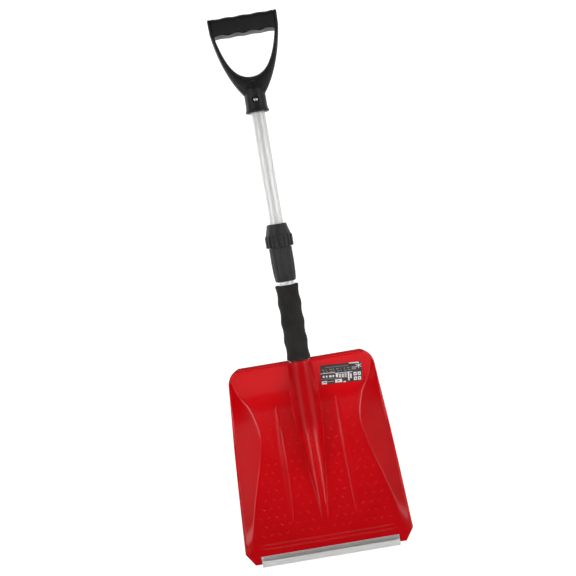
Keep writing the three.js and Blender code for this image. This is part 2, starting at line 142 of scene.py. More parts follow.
def rounded(points, radii, steps=5, closed=False):
    """A polyline with its corners rounded. A radius of 0 leaves a corner sharp."""
    share_of_side, straight = 0.49, 1e-3
    out = []
    count = len(points)
    for i, p in enumerate(points):
        r = radii[i] if isinstance(radii, (list, tuple)) else radii
        if r <= 0 or (not closed and i in (0, count - 1)):
            out.append(tuple(p))
            continue
        here = np.array(p, dtype=float)
        before = np.array(points[i - 1], dtype=float) - here
        after = np.array(points[(i + 1) % count], dtype=float) - here
        room = share_of_side * min(np.linalg.norm(before), np.linalg.norm(after))
        u, v = before / np.linalg.norm(before), after / np.linalg.norm(after)
        half = acos(max(-1.0, min(1.0, float(np.dot(u, v))))) / 2
        reach = min(r / tan(half), room) if half > straight else 0
        a, b = here + u * reach, here + v * reach
        for k in range(steps + 1):
            t = k / steps
            out.append(tuple((1 - t) ** 2 * a + 2 * t * (1 - t) * here + t * t * b))
    return out


def filled(profile, gap):
    """A closed profile with more points, about as far apart in z as the gap."""
    dense = []
    for (r0, z0), (r1, z1) in zip(profile, profile[1:] + profile[:1]):
        parts = max(1, int(abs(z1 - z0) / gap))
        dense += [(r0 + (r1 - r0) * k / parts, z0 + (z1 - z0) * k / parts)
                  for k in range(parts)]
    return dense


def loft(sections):
    """Skins closed sections that all have the same number of points, with a cap at each end."""
    verts = [tuple(p) for section in sections for p in section]
    n = len(sections[0])
    last = (len(sections) - 1) * n
    faces = []
    for start in range(0, last, n):
        for i in range(n):
            j = (i + 1) % n
            faces.append((start + i, start + j, start + n + j, start + n + i))
    faces.append(tuple(range(n)))
    faces.append(tuple(last + i for i in range(n)))
    return verts, faces


def grid_faces(rows, columns):
    """The faces, front and back in turn, of two grids of points that follow each other."""
    size = rows * columns
    faces = []
    for r in range(rows - 1):
        for c in range(columns - 1):
            a, b = r * columns + c, r * columns + c + 1
            d, e = a + columns, b + columns
            faces.append((a, b, e, d))
            faces.append((size + a, size + d, size + e, size + b))
    return faces


def grid_border(rows, columns):
    """The rows and columns of a grid's outer points, once round."""
    loop = [(0, c) for c in range(columns)]
    loop += [(r, columns - 1) for r in range(1, rows)]
    loop += [(rows - 1, c) for c in range(columns - 2, -1, -1)]
    loop += [(r, 0) for r in range(rows - 2, 0, -1)]
    return loop


def laid_back(verts, y, z):
    """Points made along +Z, laid along +Y and moved."""
    return [(vx, vz + y, -vy + z) for vx, vy, vz in verts]


def laid_forward(verts, y, z):
    """Points made along +Z, laid along -Y and moved."""
    return [(vx, -vz + y, vy + z) for vx, vy, vz in verts]


def cut(obj, verts, faces):
    """Takes a shape out of obj."""
    cutter = linked("cutter", new_mesh("cutter", verts, faces))
    modifier = obj.modifiers.new("cut", "BOOLEAN")
    modifier.operation = "DIFFERENCE"
    modifier.solver = "EXACT"
    modifier.object = cutter
    graph = bpy.context.evaluated_depsgraph_get()
    result = bpy.data.meshes.new_from_object(obj.evaluated_get(graph))
    obj.modifiers.clear()
    old = obj.data
    obj.data = result
    result.name = old.name
    bpy.data.meshes.remove(old)
    bpy.data.objects.remove(cutter)
    smooth_shaded(result, SHARP)


# ------------ materials

class Nodes:
    """Short words for building a node material."""

    def __init__(self, name):
        self.material = bpy.data.materials.new(name)
        self.material.use_nodes = True
        self.tree = self.material.node_tree
        self.shader = self.tree.nodes["Principled BSDF"]
        self.coords = self.add("TexCoord").outputs["Object"]

    def feed(self, socket, value):
        """value is a number, a colour, a vector, or another node's output."""
        if isinstance(value, bpy.types.NodeSocket):
            self.tree.links.new(value, socket)
        else:
            socket.default_value = value

    def fill(self, node, **inputs):
        for key, value in inputs.items():
            self.feed(node.inputs[key.replace("_", " ")], value)

    def add(self, kind, **inputs):
        node = self.tree.nodes.new("ShaderNode" + kind)
        self.fill(node, **inputs)
        return node

    def set(self, **inputs):
        self.fill(self.shader, **inputs)

    def stretched(self, sx, sy, sz):
        return self.add("Mapping", Scale=(sx, sy, sz), Vector=self.coords).outputs["Vector"]

    def place(self):
        """The x, y and z of a point, in metres."""
        return self.add("SeparateXYZ", Vector=self.coords).outputs

    def noise(self, scale, detail, rough=0.5, vector=None):
        node = self.add("TexNoise", Scale=scale, Detail=detail, Roughness=rough,
                        Vector=vector or self.coords)
        return node.outputs["Fac"]

    def cells(self, scale):
        return self.add("TexVoronoi", Scale=scale, Vector=self.coords).outputs["Distance"]

    def spread(self, value, low, high, out_low=0.0, out_high=1.0):
        node = self.add("MapRange", Value=value, From_Min=low, From_Max=high, To_Min=out_low,
                        To_Max=out_high)
        return node.outputs["Result"]

    def even(self, noise, out_low=0.0, out_high=1.0):
        """A noise's usual range, spread over the given one."""
        return self.spread(noise, 0.3, 0.7, out_low, out_high)

    def cloud(self, scale, detail, out_low=0.0, out_high=1.0):
        return self.even(self.noise(scale, detail), out_low, out_high)

    def math(self, operation, a, b=0):
        node = self.tree.nodes.new("ShaderNodeMath")
        node.operation = operation
        for socket, value in zip(node.inputs, (a, b)):
            self.feed(socket, value)
        return node.outputs["Value"]

    def times(self, a, b):
        return self.math("MULTIPLY", a, b)

    def mix(self, factor, low, high):
        """A mix of two colours, as the shader's base colour."""
        node = self.tree.nodes.new("ShaderNodeMix")
        node.data_type = "RGBA"
        self.fill(node, Factor=factor, A=low, B=(*high, 1))
        self.set(Base_Color=node.outputs["Result"])
        return node.outputs["Result"]

    def colour(self, factor, low, high):
        return self.mix(factor, (*low, 1), high)

    def over(self, below, mask, amount, tint):
        """Lays a tint over the colour that another mix gives."""
        return self.mix(self.times(mask, amount), below, tint)

    def bump(self, *layers):
        """Each layer is (height, distance in mm)."""
        normal = None
        for height, distance in layers:
            node = self.add("Bump", Strength=1.0, Distance=distance * MM, Height=height)
            if normal:
                self.fill(node, Normal=normal)
            normal = node.outputs["Normal"]
        self.set(Normal=normal)

    def wear_and_highlight_edges(self):
        """A mask that is near 1 on convex edges."""
        flat, edge = 0.52, 0.6
        return self.spread(self.add("NewGeometry").outputs["Pointiness"], flat, edge)


def red_plastic():
    """Gloss plastic, with painted shade where the shaft stands close behind it, in place of the
    light that shines through the plastic elsewhere.
    """
    tube_side, tube_middle, tube_end, tube_full = 0.0185, 0.0145, 0.18, 0.225
    m = Nodes("red_moulded_plastic")
    base = m.colour(m.cloud(9, 3), (0.68, 0.0012, 0.0045), (0.76, 0.0018, 0.0065))
    x, _, z = m.place()
    # Painted shade: the plastic is darkened over the tube, which keeps back light that would shine
    # through it.
    beside = m.spread(m.math("ABSOLUTE", x), tube_side, tube_middle)
    painted_tube_shade = m.times(beside, m.spread(z, tube_end, tube_full))
    base = m.over(base, painted_tube_shade, 0.9, (0.52, 0.0012, 0.0045))
    scuff = m.spread(m.noise(160, 4, 0.6, m.stretched(1, 1, 0.12)), 0.62, 0.8)
    base = m.over(base, scuff, 0.05, (0.75, 0.06, 0.07))
    # Paler pink on convex edges: partly wear, partly painted highlight.
    rub_and_highlight = m.times(m.wear_and_highlight_edges(), m.noise(70, 3))
    m.over(base, rub_and_highlight, 0.25, (0.78, 0.12, 0.12))
    m.set(Roughness=m.math("ADD", m.cloud(38, 3, 0.155, 0.2), m.times(scuff, 0.1)))
    m.bump((m.noise(11, 1), 0.08), (m.noise(900, 2), 0.015))
    m.set(Specular_IOR_Level=0.45)
    return m.material


def black_plastic(name, low, high, rough, grain):
    """Satin plastic in near black, from one shade to another, with paler convex edges that are
    partly wear and partly painted highlight.
    """
    edge_gain = 3.2
    m = Nodes(name)
    base = m.colour(m.cloud(30, 4), low, high)
    # Paler convex edges: partly wear, partly painted highlight.
    edge = m.times(m.wear_and_highlight_edges(), m.noise(120, 3))
    m.over(base, edge, 0.4, tuple(edge_gain * c for c in high))
    m.set(Roughness=m.cloud(55, 3, *rough))
    m.bump((m.noise(26, 2), 0.12), (m.cells(1500), grain))
    m.set(Specular_IOR_Level=0.3)
    return m.material


def foam_skin():
    m = Nodes("closed_cell_foam")
    base = m.colour(m.cloud(45, 4), (0.016, 0.0152, 0.0138), (0.025, 0.0237, 0.0215))
    # The pores are darkened: painted shade in their small hollows.
    pore_shade = m.spread(m.cells(1300), 0.0, 0.25, 1.0, 0.0)
    m.over(base, pore_shade, 0.5, (0.006, 0.006, 0.0055))
    m.set(Roughness=m.cloud(60, 3, 0.82, 0.95))
    m.bump((m.noise(150, 4), 0.25), (m.cells(1300), 0.16), (m.noise(2600, 2), 0.05))
    m.set(Sheen_Weight=0.06, Sheen_Roughness=0.6, Specular_IOR_Level=0.2)
    return m.material


def drawn_aluminium():
    m = Nodes("anodised_drawn_aluminium")
    lines = m.noise(140, 4, 0.6, m.stretched(12, 12, 0.12))
    m.colour(m.even(lines), (0.85, 0.85, 0.84), (0.95, 0.95, 0.94))
    smears = m.spread(m.noise(30, 3), 0.35, 0.7, 0.0, 0.04)
    m.set(Roughness=m.math("ADD", m.even(lines, 0.48, 0.55), smears))
    m.bump((lines, 0.01), (m.noise(700, 2), 0.003))
    m.set(Metallic=0.65)
    return m.material


def edge_aluminium(name, low, high, metal, rough):
    """The cutting edge's metal, with lines along it and nicks."""
    rough_range, nick_shade = 0.14, 0.55
    m = Nodes(name)
    lines = m.noise(150, 5, 0.65, m.stretched(0.08, 14, 14))
    base = m.colour(m.even(lines), low, high)
    nicks = m.spread(m.noise(420, 3, 0.7, m.stretched(0.5, 1, 1)), 0.66, 0.78)
    m.over(base, nicks, 0.35, tuple(nick_shade * c for c in low))
    m.set(Roughness=m.even(lines, rough, rough + rough_range))
    m.bump((lines, 0.03), (nicks, 0.04))
    m.set(Metallic=metal)
    return m.material


def plated_steel():
    m = Nodes("plated_steel")
    m.colour(m.cloud(300, 3), (0.62, 0.62, 0.61), (0.8, 0.8, 0.79))
    m.set(Roughness=m.cloud(500, 3, 0.16, 0.3))
    m.bump((m.noise(900, 2), 0.01))
    m.set(Metallic=1.0)
    return m.material


def printed_film(name, low, high):
    m = Nodes(name)
    m.colour(m.cloud(700, 2), low, high)
    m.set(Roughness=m.cloud(120, 3, 0.3, 0.45))
    m.bump((m.noise(600, 2), 0.01))
    return m.material


RED = red_plastic()
HANDLE_BLACK = black_plastic("handle_black_plastic", (0.009, 0.009, 0.0088),
                             (0.014, 0.014, 0.0135), (0.4, 0.52), 0.04)
SLEEVE_BLACK = black_plastic("soft_sleeve_black", (0.0125, 0.0127, 0.0124),
                             (0.018, 0.0182, 0.0178), (0.3, 0.4), 0.04)
LOCK_GREY = black_plastic("lock_grey_plastic", (0.026, 0.026, 0.0255),
                          (0.037, 0.037, 0.036), (0.42, 0.52), 0.06)
INNER_BLACK = black_plastic("inner_black_plastic", (0.02, 0.02, 0.02),
                            (0.03, 0.03, 0.03), (0.45, 0.6), 0.05)
FOAM = foam_skin()
TUBE = drawn_aluminium()
EDGE = edge_aluminium("extruded_edge_aluminium", (0.66, 0.65, 0.64), (0.82, 0.81, 0.8),
                      0.72, 0.24)
# Painted light: a near-white, barely metallic copy of the edge's metal, which makes the strip's
# lower front faces look brightly lit.
EDGE_PAINTED_LIGHT = edge_aluminium("edge_aluminium_painted_light", (0.93, 0.92, 0.9), (0.98, 0.97, 0.95),
                           0.1, 0.45)
STEEL = plated_steel()
LABEL_DARK = printed_film("label_dark", (0.03, 0.027, 0.027), (0.05, 0.045, 0.045))
LABEL_MID = printed_film("label_mid", (0.24, 0.22, 0.22), (0.32, 0.3, 0.3))
LABEL_LIGHT = printed_film("label_light", (0.86, 0.85, 0.85), (0.95, 0.94, 0.94))


# ------------ the scoop
# "across" is the distance from the middle plane, and a "rise" stands forward of the floor.

WALL = 2.6  # the plastic's thickness
TOP, BOTTOM = 317.0, 5.3
CORNER = 26.0  # radius of the top corners
CUT_TOP, CUT_HALF = 26.5, 119.6  # cut bottom corners: height, half width
EDGE_HALF_TOP, EDGE_FLARE, EDGE_BOW = 112.7, 0.0692, 0.4
FLOOR_LOW_Y, FLOOR_FALL, FLOOR_FROM, FLOOR_RUN = -1.3, 27.3, 20, 234
CHEEK, CHEEK_AT = 42.3, 200  # side wall from the front, at its widest
CHEEK_TOP, CHEEK_TOP_RUN = 19.5, 85
CHEEK_LOW, CHEEK_LOW_RUN = 15, 176
WALL_START = 0.66  # a side wall's slope at its foot
BACK_FOOT, LIP_FROM = 254.0, 311.0  # the high back wall's foot and top
BACK_START, BACK_GAIN = 0.8, 0.2  # its slope at the foot, and what it gains
SIDE_RIM_LOW_Y, SIDE_RIM_FORWARD, SIDE_RIM_FULL = -4, 9, 140
SIDE_RIM_RETURN, SIDE_RIM_RETURN_RUN, TOP_RIM_Y = 190, 85, 0.0
ROLL_WIDE, ROLL_DEEP = 3.9, 3.2  # the rim's roll to the back
RIB_FROM, RIB_TO = 62.0, 252.0
RIB_CREST, RIB_DRIFT, RIB_IN, RIB_OUT, RIB_HIGH = 50.0, 2.6, 4.0, 7.6, 2.0
RIDGE_TIP, SOCKET_LOW, SOCKET_FRONT = 57.0, 205.0, 17.0
RIDGE_TIP_HALF, RIDGE_GAIN, SOCKET_GAIN = 4.0, 12.4, 0.6
ROUND_PART, FLANK_SLOPE = 0.985, 5.0  # where the ridge's round turns to flank
PLINTH_HIGH, PLINTH_WIDE, PLINTH_TO, PLINTH_FADE = 1.3, 1.9, 212, 26
THIN_LINES = ((34.1, 102.0), (28.0, 103.6))  # height and half length
LINE_HIGH, LINE_WIDE = 0.6, 0.75
NOWHERE = -10  # a rise that never shows


def smooth01(t):
    t = np.clip(t, 0, 1)
    return t * t * (3 - 2 * t)


def smooth_max(a, b, r):
    h = np.clip(0.5 + 0.5 * (a - b) / r, 0, 1)
    return b * (1 - h) + a * h + r * h * (1 - h)


def smooth_min(a, b, r):
    return -smooth_max(-a, -b, r)


def edge_x(z):
    """Half width of the outline, as if it had no corners."""
    bow = EDGE_BOW * np.sin(np.pi * np.clip((z - CUT_TOP) / (TOP - CORNER - CUT_TOP), 0, 1))
    return EDGE_HALF_TOP + EDGE_FLARE * (TOP - z) + bow


def rim_x(z):
    """Half width of the outline: cut bottom corners and round top ones."""
    z = np.asarray(z, dtype=float)
    full = edge_x(z)
    cut_corner = CUT_HALF + (z - BOTTOM) * (edge_x(CUT_TOP) - CUT_HALF) / (CUT_TOP - BOTTOM)
    up = np.clip((z - (TOP - CORNER)) / CORNER, 0, 1)
    round_corner = full - CORNER * (1 - np.sqrt(np.clip(1 - up ** 2, 0, 1)))
    return np.where(z < CUT_TOP, cut_corner, np.where(z > TOP - CORNER, round_corner, full))


def edge_gap(across, z):
    """Distance in from the outline."""
    corner_x, corner_z = edge_x(z) - CORNER, TOP - CORNER
    reach = np.hypot(np.maximum(across - corner_x, 0), np.maximum(z - corner_z, 0))
    in_corner = (across > corner_x) & (z > corner_z)
    return np.where(in_corner, CORNER - reach, np.minimum(edge_x(z) - across, TOP - z))


def cheek(z):
    """Width of the side wall from the front: widest at mid height, narrower at both ends."""
    z = np.asarray(z, dtype=float)
    up = smooth01((z - CHEEK_AT) / CHEEK_TOP_RUN)
    down = smooth01(np.clip((CHEEK_AT - z) / CHEEK_LOW_RUN, 0, 1) ** 0.85)
    return np.where(z > CHEEK_AT, CHEEK + (CHEEK_TOP - CHEEK) * up,
                    CHEEK + (CHEEK_LOW - CHEEK) * down)


def foot_x(z):
    return edge_x(z) - cheek(z)


def floor_y(z):
    return FLOOR_LOW_Y + FLOOR_FALL * np.maximum(0, z - FLOOR_FROM) / FLOOR_RUN


def side_rim_y(z):
    """The side rim comes forward up to mid height, and falls back to the top rim's plane."""
    forward = SIDE_RIM_FORWARD * smooth01(z / SIDE_RIM_FULL)
    fall = SIDE_RIM_FORWARD - SIDE_RIM_LOW_Y + TOP_RIM_Y
    back = fall * smooth01((z - SIDE_RIM_RETURN) / SIDE_RIM_RETURN_RUN)
    return SIDE_RIM_LOW_Y - forward + back


def side_rise(across, z):
    """The side walls, straight at first and then steeper."""
    full = floor_y(z) - side_rim_y(z)
    t = (across - foot_x(z)) / cheek(z)
    start = np.clip(WALL_START * cheek(z) / full, 0.3, 0.9)
    return np.minimum(np.where(t < 0, start * t, t * (start + (1 - start) * t)) * full, full)


def back_rise(z):
    """The high back wall, up to the top rim's plane."""
    full = floor_y(np.maximum(z, BACK_FOOT)) - TOP_RIM_Y
    u = (z - BACK_FOOT) / (LIP_FROM - BACK_FOOT)
    curve = np.where(u < 0, BACK_START * u, u * (BACK_START + BACK_GAIN * u))
    return np.minimum(curve * full, full)


def side_fold(z):
    """Softness of the crease between floor and side wall, more at the top and the bottom."""
    least, more_at_top, more_at_bottom = 1.5, 1.8, 1.2
    top, bottom = smooth01((z - 262) / 30), smooth01((60 - z) / 60)
    return least + more_at_top * top + more_at_bottom * bottom


def rib_shape(z):
    """Inner foot, crest, outer foot and height of a side rib, which is steeper on its inside."""
    along = np.clip((np.asarray(z, dtype=float) - RIB_FROM) / (RIB_TO - RIB_FROM), 0, 1)
    swell = np.sqrt(np.sin(np.pi * along))
    crest = RIB_CREST - RIB_DRIFT * along
    return crest - RIB_IN * swell, crest, crest + RIB_OUT * swell, RIB_HIGH * swell


def rib_rise(across, z):
    least_side, least_height, beside, crest_fold = 1e-3, 0.02, 4, 0.16
    inner, crest, outer, height = rib_shape(z)
    up = (across - inner) / np.maximum(crest - inner, least_side)
    down = (outer - across) / np.maximum(outer - crest, least_side)
    near = (height > least_height) & (across > inner - beside) & (across < outer + beside)
    return np.where(near, height * smooth_min(up, down, crest_fold), NOWHERE)


def ridge_half(z):
    """Half width of the middle ridge's foot: level over the socket, then a taper to the tip."""
    taper = np.clip((z - RIDGE_TIP) / (SOCKET_LOW - RIDGE_TIP), 0, 1)
    socket = SOCKET_GAIN * smooth01((z - SOCKET_LOW) / 20)
    return RIDGE_TIP_HALF + RIDGE_GAIN * np.sin(0.5 * np.pi * taper) + socket


def ridge_round(z):
    """Half width of the ridge's round part, which stands on a low plinth along the tail."""
    return ridge_half(z) - PLINTH_WIDE * smooth01((PLINTH_TO - z) / PLINTH_FADE)


def ridge_height(z):
    """A tail that swells up to the socket's front."""
    high, run, swell, fold = 12.0, 73, 1.7, 7.0
    tail = high * (np.maximum(z - RIDGE_TIP, 0) / run) ** swell
    return smooth_min(tail, floor_y(z) + SOCKET_FRONT, fold)


def ridge_bend(z):
    """Half width and rise where the ridge's round part turns into its flank."""
    r, high = ridge_round(z), ridge_height(z)
    cap = np.minimum(high, r)
    return ROUND_PART * r, high - cap + 0.2 * cap


def ridge_rise(across, z):
    """A squared nose along the tail, which becomes a half circle over the socket."""
    r, high = ridge_round(z), ridge_height(z)
    cap = np.minimum(high, r)
    squared, half_circle = 2.6, 0.6
    power = squared - half_circle * smooth01((z - 130) / 60)
    inside = np.clip(across / r, 0, ROUND_PART)
    nose = high - cap + cap * (1 - inside ** power) ** (1 / power)
    flank = FLANK_SLOPE * np.maximum(0, across - ROUND_PART * r)
    return np.where(z > RIDGE_TIP, nose - flank, NOWHERE)


def plinth_rise(across, z):
    slope, beside, fold = 0.55, 0.4, 0.25
    high = PLINTH_HIGH * smooth01((z - RIDGE_TIP) / 20)
    edge = slope * (ridge_half(z) + beside - across)
    return np.where(z > RIDGE_TIP, smooth_min(high, edge, fold), NOWHERE)


def scoop_y(x, z, lines=True):
    """The scoop's front surface, with or without its two thin lines."""
    wall_fold, back_fold, rib_fold, plinth_fold, line_end = 3.0, 5.5, 0.22, 0.25, 1.5
    across = np.abs(x)
    side, back = side_rise(across, z), back_rise(z)
    walls = smooth_max(side, back, wall_fold)
    floor_fold = np.where(back > side, back_fold, side_fold(z))
    rise = smooth_max(walls, np.zeros_like(walls), floor_fold)
    rise = smooth_max(rise, rib_rise(across, z), rib_fold)
    rise = smooth_max(rise, plinth_rise(across, z), plinth_fold)
    ridge_fold = np.clip(0.3 * ridge_height(z), 0.05, 2.2)
    rise = smooth_max(rise, ridge_rise(across, z), ridge_fold)
    roll = np.clip((ROLL_WIDE - edge_gap(across, z)) / ROLL_WIDE, 0, 1) ** 2
    rise = rise - ROLL_DEEP * roll
    if lines:
        for level, reach in THIN_LINES:
            ends = smooth01((reach - across) / line_end)
            rise = rise + LINE_HIGH * np.exp(-((z - level) / LINE_WIDE) ** 2) * ends
    return floor_y(z) - rise


def on_scoop(x, z, lift):
    """A point that stands forward of the scoop's surface by the lift."""
    return x, float(scoop_y(np.array(x), np.array(z), False)) - lift, z


def row_heights():
    """The scoop's rows of points, close together at the thin lines and round the corners."""
    half, corner_rows = WALL / 2, 22
    low = list(np.linspace(BOTTOM + half, 25.5, 10))
    lines = list(np.linspace(26, 36.5, 30))
    middle = list(np.linspace(38.5, TOP - CORNER, 122))
    corner = [TOP - CORNER + (CORNER - half) * sin(QUARTER * k / corner_rows)
              for k in range(1, corner_rows + 1)]
    return np.array(low + lines + middle + corner)


def column_stops(z):
    """Half of a row's columns, from the middle to the rim, gathered at the form's creases."""
    closest = 0.5
    inner, crest, outer, _ = (float(v) for v in rib_shape(z))
    rim = float(rim_x(z)) - WALL / 2
    foot = float(foot_x(z))
    bend, bend_rise = (float(v) for v in ridge_bend(z))
    flank = max(float(ridge_half(z)) + 1.2, bend + bend_rise / FLANK_SLOPE + 2.4)
    stops = [0, bend, flank, inner - 0.8, crest, outer + 0.8, foot - 2, foot + 2.5, rim - 4.2,
             rim]
    counts = [12, 13, 5, 6, 7, 6, 6, 10, 9]
    for i in range(1, len(stops)):
        stops[i] = max(stops[i], stops[i - 1] + closest)
    stops[-1] = rim
    for i in range(len(stops) - 2, 0, -1):
        stops[i] = min(stops[i], stops[i + 1] - closest)
    xs = []
    for a, b, n in zip(stops, stops[1:], counts):
        for k in range(n):
            t = sin(QUARTER * k / n) if a == 0 else k / n
            xs.append(a + (b - a) * t)
    xs.append(rim)
    return xs


def scoop_grids():
    """Grids of points for the scoop's front and, an even wall behind it, its back."""
    step, steepest = 0.25, 2.2
    rows = row_heights()
    halves = [column_stops(z) for z in rows]
    xs = np.array([[-x for x in reversed(half[1:])] + list(half) for half in halves])
    zs = np.repeat(rows[:, None], xs.shape[1], axis=1)
    front = np.stack([xs, scoop_y(xs, zs), zs], axis=-1)
    slope_x = (scoop_y(xs + step, zs, False) - scoop_y(xs - step, zs, False)) / (2 * step)
    slope_z = (scoop_y(xs, zs + step, False) - scoop_y(xs, zs - step, False)) / (2 * step)
    slope_x = np.clip(slope_x, -steepest, steepest)
    length = np.sqrt(1 + slope_x ** 2 + slope_z ** 2)
    lean = np.stack([-slope_x / length, 1 / length, -slope_z / length], axis=-1)
    back = front + WALL * lean
    # Along the rim the wall goes straight back, which keeps the rim even.
    near_rim = np.zeros_like(xs, dtype=bool)
    near_rim[:, :3] = near_rim[:, -3:] = True
    near_rim[-3:, :] = near_rim[:2, :] = True
    straight = front + np.array([0, WALL, 0])
    back[near_rim] = straight[near_rim]
    return front, back


def scoop_shell():
    """Front and back grids joined by a half-round rim."""
    arc_steps = 4
    front, back = scoop_grids()
    rows, columns = front.shape[:2]
    size = rows * columns
    verts = [tuple(p) for grid in (front, back) for p in grid.reshape(-1, 3)]
    faces = grid_faces(rows, columns)
    loop = grid_border(rows, columns)
    flat = [np.array([front[r, c][0], front[r, c][2]]) for r, c in loop]
    arcs = []
    for i, (r, c) in enumerate(loop):
        along = flat[(i + 1) % len(loop)] - flat[i - 1]
        along /= np.linalg.norm(along)
        out = np.array([along[1], 0, -along[0]])
        middle = (front[r, c] + back[r, c]) / 2
        arc = [r * columns + c]
        for k in range(1, arc_steps):
            angle = pi * k / arc_steps
            p = (middle + (front[r, c] - middle) * cos(angle)
                 + out * (WALL / 2) * sin(angle))
            arc.append(len(verts))
            verts.append(tuple(p))
        arc.append(size + r * columns + c)
        arcs.append(arc)
    for one, two in zip(arcs, arcs[1:] + arcs[:1]):
        for k in range(arc_steps):
            faces.append((one[k], one[k + 1], two[k + 1], two[k]))
    return verts, faces


def make_scoop():
    """The shell, and the socket that the lower tube stands in."""
    socket = rounded([(0, 203), (15.8, 203), (15.8, 316.7), (12.9, 316.7), (12.9, 209), (0, 209)],
                     [0, 2.5, 0.8, 0.5, 0, 0])
    piece("scoop", *joined([scoop_shell(), lathe(socket)]), RED, "lower_shaft", "red_plastic",
          ("blade",), sharp=120)
    piece("scoop_floor_dashes", *joined(floor_dashes()), RED, "lower_shaft", "red_plastic",
          sharp=60)


def floor_dashes():
    """Small raised dashes in a herringbone over the scoop's floor."""
    rows, low, row_gap, lean = 15, 48, 13.5, 38
    columns, column_gap, shift = 9, 12.5, 6.2
    beside_wall, beside_ridge, beside_rib = 8, 8, 3.5
    for row in range(rows):
        z = low + row_gap * row
        reach = float(foot_x(z)) - beside_wall
        for column in range(-columns, columns + 1):
            x = column_gap * column + (shift if row % 2 else 0)
            if abs(x) > reach or abs(x) < float(ridge_half(z)) + beside_ridge:
                continue
            rib_inner, _, rib_outer, _ = rib_shape(z)
            if rib_inner - beside_rib < abs(x) < rib_outer + beside_rib:
                continue
            yield dash(x, z, radians(lean if column % 2 else -lean))


def dash(x, z, lean):
    """A low lens with pointed ends, which narrows upwards."""
    half, point, wide, high = 2.8, 0.6, 0.85, 0.33
    outline = [(-half, 0), (-half + point, -wide), (half - point, -wide), (half, 0),
               (half - point, wide), (-half + point, wide)]
    rings = []
    for scale, lift in ((1.0, -0.25), (0.94, 0.2), (0.5, high)):
        ring = []
        for a, b in outline:
            a, b = a * (0.5 + 0.5 * scale), b * scale
            ring.append(on_scoop(x + a * cos(lean) - b * sin(lean),
                                 z + a * sin(lean) + b * cos(lean), lift))
        rings.append(ring)
    return loft(rings)


def make_edge_strip():
    """Extruded edging with a raised upper flange, a bevelled nose and a fine line along it."""
    half, bevel, middle_z, parts = 109.2, 0.35, 9, 24
    end_thin, end_low, nose_y, nose_z = 0.94, 0.98, 0.5, 10.4
    outline = [(-0.8, 0), (0.8, 0), (2.9, 10.5), (2.9, 18), (1.6, 18), (1.6, 7.7), (-1.6, 7.7),
               (-1.6, 18), (-1.85, 18), (-3.3, 11.0), (-2.75, 10.3), (-1.95, 6.1), (-1.6, 5.7),
               (-1.75, 5.3)]
    radii = [0.35, 0.35, 0.8, 0.5, 0.3, 0.2, 0.2, 0.3, 0.6, 0.5, 0.3, 0.15, 0.1, 0.15]
    section = rounded(outline, radii, steps=3, closed=True)
    end = [(y * end_thin, middle_z + (z - middle_z) * end_low) for y, z in section]
    full = half - bevel
    stations = [(-full + 2 * full * k / parts, section) for k in range(parts + 1)]
    stations = [(-half, end)] + stations + [(half, end)]
    verts, faces = loft([[(x, y, z) for y, z in ring] for x, ring in stations])
    # The lower front faces take the near-white copy of the metal: painted light.
    pale = [int(all(verts[i][1] < nose_y and verts[i][2] < nose_z for i in face))
            for face in faces]
    piece("cutting_strip", verts, faces, [EDGE, EDGE_PAINTED_LIGHT], "lower_shaft", "aluminium",
          ("wear_strip",), sharp=28, face_materials=pale)


# ------------ the label

LABEL_WIDE, LABEL_HIGH, LABEL_TILT = 65.0, 33.0, -0.07
LABEL_X, LABEL_Z, LABEL_CORNER = 61.5, 281.5, 2
LABEL_COLUMNS, LABEL_ROWS = 130, 66
DARK, MIDDLE, LIGHT = 0, 1, 2


def label_blocks():
    """Bars, blocks and a six-spoke mark that say nothing: x0, x1, z0, z1 and shade."""
    yield from ((0, 22, 18.2, 19.2, LIGHT), (8, 44, 28.4, 29.2, MIDDLE))
    for k, size in enumerate((3.0, 1.6, 4.2, 2.2, 3.4, 1.4, 2.8, 3.8)):
        left = 3 + 5.6 * k
        yield left, left + size, 23.6, 25.6, MIDDLE
        yield left + 1.2, left + size + 1.4, 20.4, 21.8, MIDDLE
    yield from ((22, 50, 16.9, 17.9, LIGHT), (24.5, 27.0, 10.2, 16.9, LIGHT))
    for k, size in enumerate((3.2, 2.4, 3.6, 2.8, 2.2)):
        left = 3 + 5.2 * k
        yield left, left + size, 11.2, 14.6, LIGHT
    for k in range(3):
        yield 28.5 + 4.6 * k, 31.6 + 4.6 * k, 9.6, 15.4, LIGHT
        yield 29.5 + 4.6 * k, 30.8 + 4.6 * k, 11.4, 13.4, DARK
    yield from ((0, 44, 8.2, 9.0, MIDDLE),
                (1, 9, 0.4, 5.6, LIGHT), (4, 7, 2.6, 4.0, DARK),
                (9, 20, 3.6, 4.4, LIGHT),
                (22, 33, 1.2, 6.6, LIGHT), (25, 29, 3.4, 4.8, DARK),
                (35, 39, 0.8, 2.6, LIGHT),
                (42.5, 45.0, 2.8, 17.5, LIGHT), (46.2, 48.6, 6.0, 14.0, LIGHT))
    for left in (51.5, 58.0):
        for low in (2.4, 10.2):
            yield left, left + 5.4, low, low + 6.0, LIGHT
            yield left + 1.7, left + 3.7, low + 2.0, low + 3.8, DARK
    yield from ((45, 60, 31.4, 33, LIGHT), (49, 56, 20.6, 26.2, MIDDLE))
    for k in range(-9, 10):
        for a, b in ((0, 0.5 * k), (0.45 * k, 0.26 * k), (0.45 * k, -0.26 * k)):
            yield 59.6 + a, 60.6 + a, 26.6 + b, 27.4 + b, LIGHT


